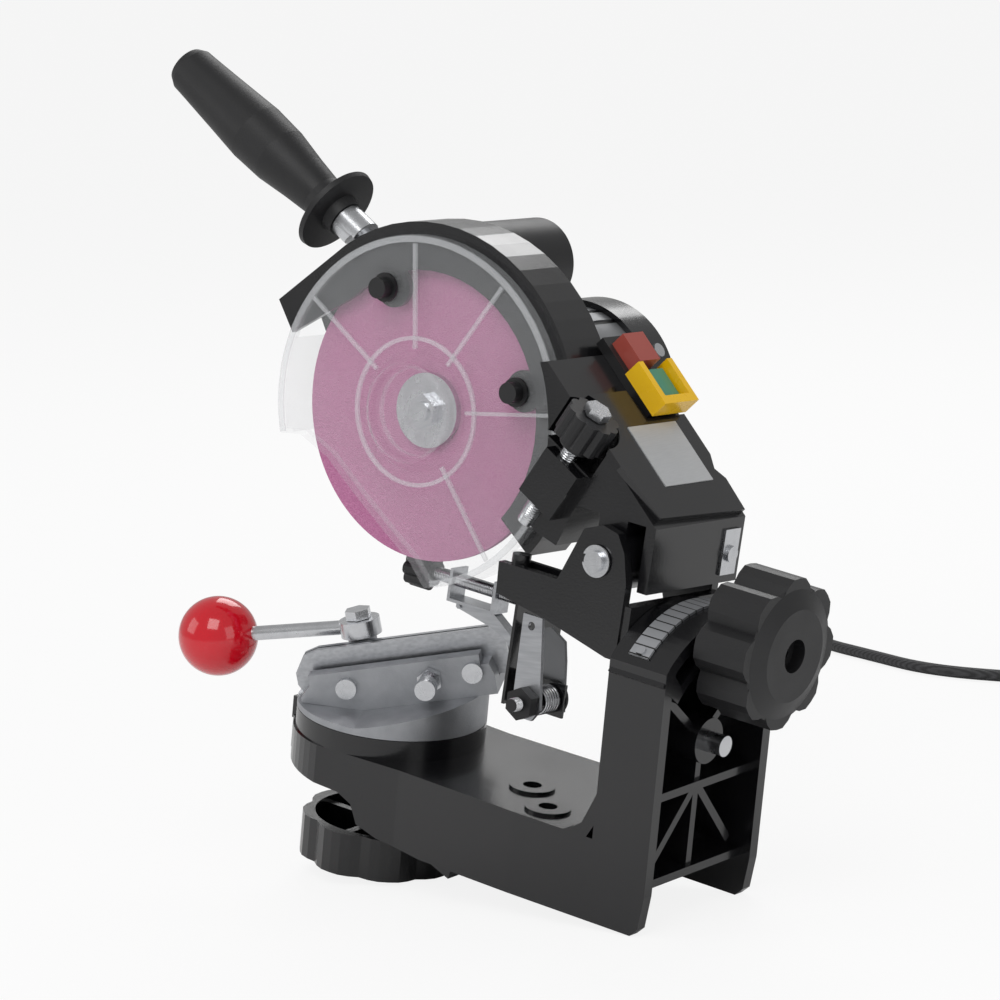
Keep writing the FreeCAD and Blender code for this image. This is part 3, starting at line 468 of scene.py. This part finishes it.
# Nodes by finish; bright_steel is the finish of every node that isn't here
NODE_FINISH = {
    "black_enamel": ("base_casting", "tilt_bracket", "head_arm", "box_cover", "wheel_guard",
                     "motor_end_cap", "stop_plate", "turntable_lock_knob"),
    "black_plastic": ("tilt_lock_knob", "depth_knob", "stop_knob", "switch_body", "condenser_housing",
                      "cover_nuts", "strain_relief", "mains_plug", "link_bolt"),
    "grip_rubber": ("handle_grip",),
    "cast_metal": ("vise_block", "turntable_disc"),
    "rail_steel": ("fixed_rail", "moving_rail", "side_link", "chain_pawl", "stop_carrier"),
    "grey_enamel": ("motor_barrel", "grey_lever"),
    "red_gloss": ("lever_ball",),
    "abrasive": ("grinding_wheel",),
    "clear_plastic": ("clear_cover",),
    "yellow_plastic": ("switch_guard",),
    "red_button": ("red_button",),
    "green_button": ("green_button",),
    "silver_label": ("rating_plate", "index_pointer"),
    "scale_foil": ("scale_band",),
    "motor_core": ("stator", "rotor"),
    "cord_rubber": ("cord_coil", "mains_cord"),
}

BODIES = frame["record"]["behaviour"]["bodies"]
BODY_OF = {node: body for body, members in BODIES.items() for node in members}


# New pieces: vertex grids worked out from formulas


def add_piece(name, verts, faces, finish, body, smooth=True):
    """verts in millimetres in the frame of the solids; every vertex is scaled to metres."""
    mesh = bpy.data.meshes.new(name)
    mesh.from_pydata([tuple(v) for v in np.asarray(verts, float) * MM], [], [tuple(f) for f in faces])
    mesh.validate()
    if smooth:
        mesh.polygons.foreach_set("use_smooth", [True] * len(mesh.polygons))
        mesh.set_sharp_from_angle(angle=math.radians(PIECE_EDGE))
    piece = bpy.data.objects.new(name, mesh)
    bpy.context.scene.collection.objects.link(piece)
    piece.data.materials.append(finish_named(finish))
    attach(piece, body)
    return piece


def moved(points, where):
    """Points through a placement: p' = R p + t."""
    matrix = np.array(where)
    points = np.asarray(points, float)
    return points @ matrix[:3, :3].T + matrix[:3, 3]


def grid_faces(rows, columns, close_rows=False, close_columns=True):
    """Quads of a grid, closed round the columns for a tube and round the rows for a ring."""
    last_row = rows if close_rows else rows - 1
    last_column = columns if close_columns else columns - 1
    faces = []
    for i in range(last_row):
        for j in range(last_column):
            a = i * columns + j
            b = i * columns + (j + 1) % columns
            c = ((i + 1) % rows) * columns + (j + 1) % columns
            d = ((i + 1) % rows) * columns + j
            faces.append((a, b, c, d))
    return faces


def revolved(profile, steps):
    """Revolution about Z: point (r cos t, r sin t, z) for each (r, z) of the profile."""
    verts = []
    for radius, height in profile:
        for j in range(steps):
            angle = 2 * math.pi * j / steps
            verts.append((radius * math.cos(angle), radius * math.sin(angle), height))
    return verts


def thread(radius, pitch, length, depth):
    """A screw ridge: radius r + depth * (1 - |2 frac(z / pitch - t / 2 pi) - 1|) over a grid of t and z."""
    steps = THREAD_STEPS
    rows = int(length / pitch * THREAD_ROWS) + 1
    verts = []
    for i in range(rows):
        height = length * i / (rows - 1)
        fade = min(1.0, THREAD_FADE * height / length, THREAD_FADE * (length - height) / length)
        for j in range(steps):
            angle = 2 * math.pi * j / steps
            phase = (height / pitch - j / steps) % 1.0
            reach = radius + depth * fade * (1 - abs(2 * phase - 1))
            verts.append((reach * math.cos(angle), reach * math.sin(angle), height))
    faces = grid_faces(rows, steps)
    faces.append(tuple(reversed(range(steps))))
    faces.append(tuple(range((rows - 1) * steps, rows * steps)))
    return verts, faces


def slab(x0, x1, y0, y1, z0, z1):
    """A box by its extents."""
    verts = [(x, y, z) for x in (x0, x1) for y in (y0, y1) for z in (z0, z1)]
    faces = [(0, 1, 3, 2), (4, 6, 7, 5), (0, 4, 5, 1), (2, 3, 7, 6), (0, 2, 6, 4), (1, 5, 7, 3)]
    return verts, faces


def joined(parts):
    """Several (verts, faces) pairs as one."""
    verts = []
    faces = []
    for some_verts, some_faces in parts:
        start = len(verts)
        verts += [tuple(v) for v in some_verts]
        faces += [tuple(start + k for k in face) for face in some_faces]
    return verts, faces


def placed(part, where):
    """A (verts, faces) pair through a placement."""
    verts, faces = part
    return [tuple(v) for v in moved(verts, where)], faces


class SHARPENER_OT_finishes(bpy.types.Operator):
    """Gives every solid its finish"""
    bl_idname = "sharpener.finishes"
    bl_label = "Finishes of the solids"

    def execute(self, context):
        finish_of = {node: finish for finish, members in NODE_FINISH.items() for node in members}
        for node, piece in frame["nodes"].items():
            piece.data.materials.clear()
            piece.data.materials.append(finish_named(finish_of.get(node, "bright_steel")))
            piece.data.polygons.foreach_set("use_smooth", [True] * len(piece.data.polygons))
            piece.data.set_sharp_from_angle(angle=math.radians(SOLID_EDGE))
        return {"FINISHED"}


class SHARPENER_OT_threads(bpy.types.Operator):
    """Threads on the depth screw, the chain stop's rod, the clamp bolt and the link bolt"""
    bl_idname = "sharpener.threads"
    bl_label = "Screw threads"

    def execute(self, context):
        depth = sizes().thread_depth
        head = head_frame()
        screw = head @ shift(*DEPTH_SCREW_PLACE) @ turn("X", DEPTH_SCREW_LEAN) @ shift(*DEPTH_SCREW_FOOT)
        rod = head @ shift(*STOP_ROD_FOOT) @ turn("X", -90)
        clamp = slope_frame() @ shift(*CLAMP_BOLT_FOOT) @ turn("Y", 90)
        link = head @ shift(*LINK_BOLT_FOOT) @ turn("Y", 90)
        # Piece, radius, pitch, length, where its thread starts, node that it sits on
        rows = (
            ("depth_screw_thread", 4.0, 1.25, 49.0, screw, "depth_screw"),
            ("stop_rod_thread", 3.0, 1.0, 78.0, rod, "stop_knob"),
            ("clamp_bolt_thread", 3.0, 1.0, 5.0, clamp, "clamp_bolt"),
            ("link_bolt_thread", 3.0, 1.0, 5.5, link, "link_bolt"),
        )
        for name, radius, pitch, length, where, node in rows:
            verts, faces = placed(thread(radius - THREAD_SINK, pitch, length, depth), where)
            add_piece(name, verts, faces, "bright_steel", BODY_OF[node])
        return {"FINISHED"}


class SHARPENER_OT_cover(bpy.types.Operator):
    """Ribs, hub ring and rim of the clear cover"""
    bl_idname = "sharpener.cover"
    bl_label = "Clear cover ribs"

    def execute(self, context):
        face = spindle_frame(COVER_FACE)
        parts = []
        for angle in RIB_ANGLES:
            rib = slab(0.0, RIB_DEPTH, *RIB_REACH, -RIB_HALF, RIB_HALF)
            parts.append(placed(rib, face @ turn("X", angle)))
        hub = (revolved(HUB_RING, HUB_STEPS), grid_faces(len(HUB_RING), HUB_STEPS, close_rows=True))
        parts.append(placed(hub, face @ turn("Y", 90)))
        first, last = (math.radians(v) for v in RIM_SPAN)
        span = np.linspace(first, last, RIM_STEPS)
        verts = [(z, r * math.cos(a), r * math.sin(a)) for r, z in RIM for a in span]
        faces = grid_faces(len(RIM), RIM_STEPS, close_rows=True, close_columns=False)
        faces.append(tuple(k * RIM_STEPS for k in (0, 1, 2, 3)))
        faces.append(tuple(k * RIM_STEPS + RIM_STEPS - 1 for k in (3, 2, 1, 0)))
        parts.append(placed((verts, faces), face))
        verts, faces = joined(parts)
        add_piece("clear_cover_ribs", verts, faces, "clear_edge", "head", smooth=False)
        return {"FINISHED"}


class SHARPENER_OT_motor(bpy.types.Operator):
    """Black strips of painted shade in the grooves of the motor's barrel"""
    bl_idname = "sharpener.motor"
    bl_label = "Motor groove painted shade"

    def execute(self, context):
        spindle = spindle_frame()
        strips = [placed(slab(*STRIP_BOX), spindle @ turn("X", angle)) for angle in STRIP_ANGLES]
        verts, faces = joined(strips)
        # The strips are painted shade: a black finish laid where the grooves of the grey barrel are in
        # shade
        add_piece("motor_groove_painted_shade", verts, faces, "painted_groove_shade", "head", smooth=False)
        return {"FINISHED"}


class SHARPENER_OT_lead(bpy.types.Operator):
    """Mains lead as one smooth tube along its route"""
    bl_idname = "sharpener.lead"
    bl_label = "Mains lead"

    def execute(self, context):
        s = sizes()
        route = (tuple(base_frame() @ Vector(LEAD_EXIT)),) + LEAD_ROUTE
        curve = bpy.data.curves.new("mains lead", "CURVE")
        curve.dimensions = "3D"
        curve.bevel_depth = s.cord_radius * MM
        curve.bevel_resolution = 6
        curve.use_fill_caps = True
        spline = curve.splines.new("NURBS")
        spline.points.add(len(route) - 1)
        for point, place_mm in zip(spline.points, route):
            point.co = (*[c * MM for c in place_mm], 1.0)
        spline.order_u = 3
        spline.use_endpoint_u = True
        spline.resolution_u = 12
        lead = bpy.data.objects.new("mains_lead", curve)
        context.scene.collection.objects.link(lead)
        curve.materials.append(finish_named("cord_rubber"))
        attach(lead, "base")
        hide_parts("mains_cord")
        return {"FINISHED"}


class SHARPENER_OT_stage(bpy.types.Operator):
    """Camera, lamps, pale floor and white surroundings"""
    bl_idname = "sharpener.stage"
    bl_label = "Stage"

    def execute(self, context):
        scene = context.scene
        s = scene.sharpener_stage
        azimuth, elevation, roll = (math.radians(v) for v in (s.azimuth, s.elevation, s.roll))
        back = Vector((math.sin(azimuth) * math.cos(elevation), -math.cos(azimuth) * math.cos(elevation),
                       math.sin(elevation)))
        right = Vector((math.cos(azimuth), math.sin(azimuth), 0.0))
        up = back.cross(right)
        tilted_right = math.cos(roll) * right + math.sin(roll) * up
        tilted_up = -math.sin(roll) * right + math.cos(roll) * up
        camera = bpy.data.objects.new("Camera", bpy.data.cameras.new("Camera"))
        scene.collection.objects.link(camera)
        camera.matrix_world = Matrix((
            (tilted_right.x, tilted_up.x, back.x, s.camera_x * MM),
            (tilted_right.y, tilted_up.y, back.y, s.camera_y * MM),
            (tilted_right.z, tilted_up.z, back.z, s.camera_z * MM),
            (0.0, 0.0, 0.0, 1.0)))
        camera.data.sensor_width = SENSOR_WIDTH
        camera.data.lens = s.focal_px * SENSOR_WIDTH / FRAME_PIXELS
        camera.data.clip_start = 0.05
        camera.data.clip_end = 50.0
        scene.camera = camera

        half = s.floor_half
        mesh = bpy.data.meshes.new("floor")
        corners = [(-half, -half, 0), (half, -half, 0), (half, half, 0), (-half, half, 0)]
        mesh.from_pydata(corners, [], [(0, 1, 2, 3)])
        floor = bpy.data.objects.new("floor", mesh)
        scene.collection.objects.link(floor)
        surface = Surface("White floor")
        surface.set(Base_Color=(0.93, 0.93, 0.93, 1.0), Roughness=0.7)
        tree = surface.tree
        glow = tree.nodes.new("ShaderNodeEmission")
        glow.inputs["Color"].default_value = (1.0, 1.0, 1.0, 1.0)
        glow.inputs["Strength"].default_value = 1.0
        path = tree.nodes.new("ShaderNodeLightPath")
        part = Field(tree, path.outputs["Is Camera Ray"]) * FLOOR_GLOW
        blend = tree.nodes.new("ShaderNodeMixShader")
        out = tree.nodes["Material Output"]
        tree.links.new(part.socket, blend.inputs[0])
        tree.links.new(surface.shader.outputs[0], blend.inputs[1])
        tree.links.new(glow.outputs[0], blend.inputs[2])
        tree.links.new(blend.outputs[0], out.inputs["Surface"])
        mesh.materials.append(surface.material)

        world = bpy.data.worlds.new("studio")
        scene.world = world
        world.use_nodes = True
        tree = world.node_tree
        plain = tree.nodes["Background"]
        plain.inputs["Color"].default_value = (1.0, 1.0, 1.0, 1.0)
        plain.inputs["Strength"].default_value = WORLD_LIGHT
        white = tree.nodes.new("ShaderNodeBackground")
        white.inputs["Strength"].default_value = 1.0
        path = tree.nodes.new("ShaderNodeLightPath")
        blend = tree.nodes.new("ShaderNodeMixShader")
        tree.links.new(path.outputs["Is Camera Ray"], blend.inputs[0])
        tree.links.new(plain.outputs[0], blend.inputs[1])
        tree.links.new(white.outputs[0], blend.inputs[2])
        tree.links.new(blend.outputs[0], tree.nodes["World Output"].inputs["Surface"])

        centre = Vector(LAMP_TARGET)
        for name, where, side, power in LAMPS:
            light = bpy.data.lights.new(name, "AREA")
            light.shape = "SQUARE"
            light.size = side
            light.energy = power
            lamp = bpy.data.objects.new(name, light)
            lamp.location = where
            lamp.rotation_euler = (Vector(where) - centre).to_track_quat("Z", "Y").to_euler()
            scene.collection.objects.link(lamp)
        scene.view_settings.view_transform = "Standard"
        return {"FINISHED"}


class SHARPENER_PT_panel(bpy.types.Panel):
    """Buttons for each group of pieces"""
    bl_idname = "SHARPENER_PT_panel"
    bl_label = "Chain sharpener"
    bl_space_type = "VIEW_3D"
    bl_region_type = "UI"
    bl_category = "Sharpener"

    def draw(self, context):
        for operator in OPERATORS:
            self.layout.operator(operator.bl_idname)
        for name in ("sharpener_sizes", "sharpener_stage"):
            group = getattr(context.scene, name)
            for field in group.__annotations__:
                self.layout.prop(group, field)


OPERATORS = (SHARPENER_OT_finishes, SHARPENER_OT_threads, SHARPENER_OT_cover,
             SHARPENER_OT_motor, SHARPENER_OT_lead, SHARPENER_OT_stage)
CLASSES = (SharpenerSizes, SharpenerStage) + OPERATORS + (SHARPENER_PT_panel,)


def register():
    for cls in CLASSES:
        bpy.utils.register_class(cls)
    bpy.types.Scene.sharpener_sizes = bpy.props.PointerProperty(type=SharpenerSizes)
    bpy.types.Scene.sharpener_stage = bpy.props.PointerProperty(type=SharpenerStage)


def unregister():
    del bpy.types.Scene.sharpener_stage
    del bpy.types.Scene.sharpener_sizes
    for cls in reversed(CLASSES):
        bpy.utils.unregister_class(cls)


def main():
    register()
    bpy.ops.sharpener.finishes()
    bpy.ops.sharpener.threads()
    bpy.ops.sharpener.cover()
    bpy.ops.sharpener.motor()
    bpy.ops.sharpener.lead()
    bpy.ops.sharpener.stage()
    bpy.context.view_layer.update()


if __name__ == "__main__":
    main()
